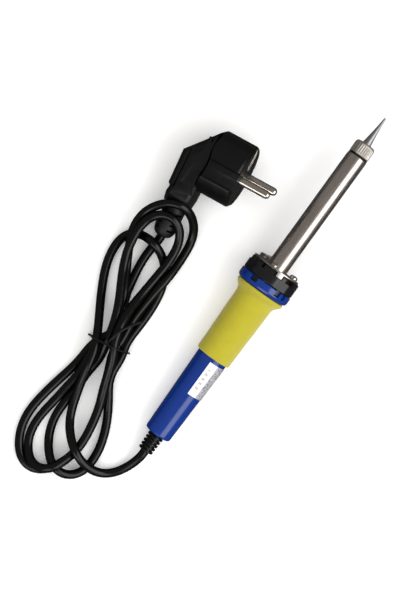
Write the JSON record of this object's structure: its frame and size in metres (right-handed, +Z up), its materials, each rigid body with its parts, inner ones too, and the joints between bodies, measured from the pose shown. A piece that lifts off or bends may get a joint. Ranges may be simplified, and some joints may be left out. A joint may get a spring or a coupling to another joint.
{
  "type": "soldering iron",
  "caption": "Straight mains soldering iron with a foam grip, steel heater barrel and knurled tip nut, its black cord tied in a looped bundle that ends in an angled round plug.",
  "frame": {"origin": "on the surface the object lies on, under the middle of the iron (cord and plug left out)", "axes": "+X along the iron from its cord end towards the tip, +Y from the iron towards the bundle of cord and the plug, +Z up; the iron's own axis rises 4.68 degrees towards the tip, because it lies on its tail and its head ring"},
  "size_m": [0.2785, 0.1004, 0.0406],
  "materials": {
    "blue_plastic": "glossy moulded polypropylene",
    "yellow_foam": "matte closed-cell foam",
    "label_paper": "white self-adhesive label",
    "phenolic": "satin black phenolic moulding",
    "plug_plastic": "satin black moulded plastic",
    "cord_rubber": "semi-gloss black cord sheath",
    "tie_plastic": "black coated wire",
    "stainless": "bright drawn stainless tube and sheet",
    "nickel": "nickel plated",
    "dark_steel": "heat-blackened steel",
    "tip_plate": "dull iron plating",
    "ceramic": "unglazed off-white ceramic",
    "mica": "rolled mica sheet",
    "resistance_wire": "oxidised resistance wire",
    "brass": "plain brass",
    "brown_wire": "brown insulation",
    "blue_wire": "blue insulation",
    "earth_wire": "green and yellow insulation",
    "glass_fibre": "braided glass-fibre sleeve"
  },
  "bodies": {
    "iron": {"handle": "blue_plastic", "grip_sleeve": "yellow_foam", "label": "label_paper", "collar": "phenolic", "strain_relief": "cord_rubber", "barrel_flange": "stainless", "barrel_tube": "stainless", "barrel_bush": "dark_steel", "nut_washer": "dark_steel", "heater_core": "ceramic", "heater_winding": "resistance_wire", "heater_sleeve": "mica", "flange_screw_1": "nickel", "flange_screw_2": "nickel", "flange_screw_3": "nickel", "terminal_block": "ceramic", "terminal_screw_1": "brass", "terminal_screw_2": "brass", "terminal_screw_3": "brass", "terminal_screw_4": "brass", "wire_live": "brown_wire", "wire_neutral": "blue_wire", "wire_earth": "earth_wire", "heater_lead_1": "glass_fibre", "heater_lead_2": "glass_fibre", "earth_tag": "brass", "cord_inner": "cord_rubber", "cord_clamp": "nickel", "cord_lead": "cord_rubber", "cord_hank": "cord_rubber", "cord_tie": "tie_plastic", "plug_front": "plug_plastic", "plug_shell": "plug_plastic", "plug_pin_1": "nickel", "plug_pin_2": "nickel", "plug_earth_1": "nickel", "plug_earth_2": "nickel", "plug_relief": "cord_rubber"},
    "tip": {"tip": "tip_plate"},
    "tip_nut": {"tip_nut": "nickel"}
  },
  "joints": [
    {"name": "tip_slide", "type": "slide", "parent": "iron", "child": "tip", "axis": [0.9967, 0, 0.0816], "range_m": [0, 0.004]},
    {"name": "nut_turn", "type": "hinge", "parent": "tip", "child": "tip_nut", "pos_m": [0.08867, 0, 0.02416], "axis": [0.9967, 0, 0.0816], "range_deg": [0, 1440]}
  ],
  "couplings": [
    {"joint": "nut_turn", "follows": "tip_slide", "rad_per_m": 6283.2}
  ]
}
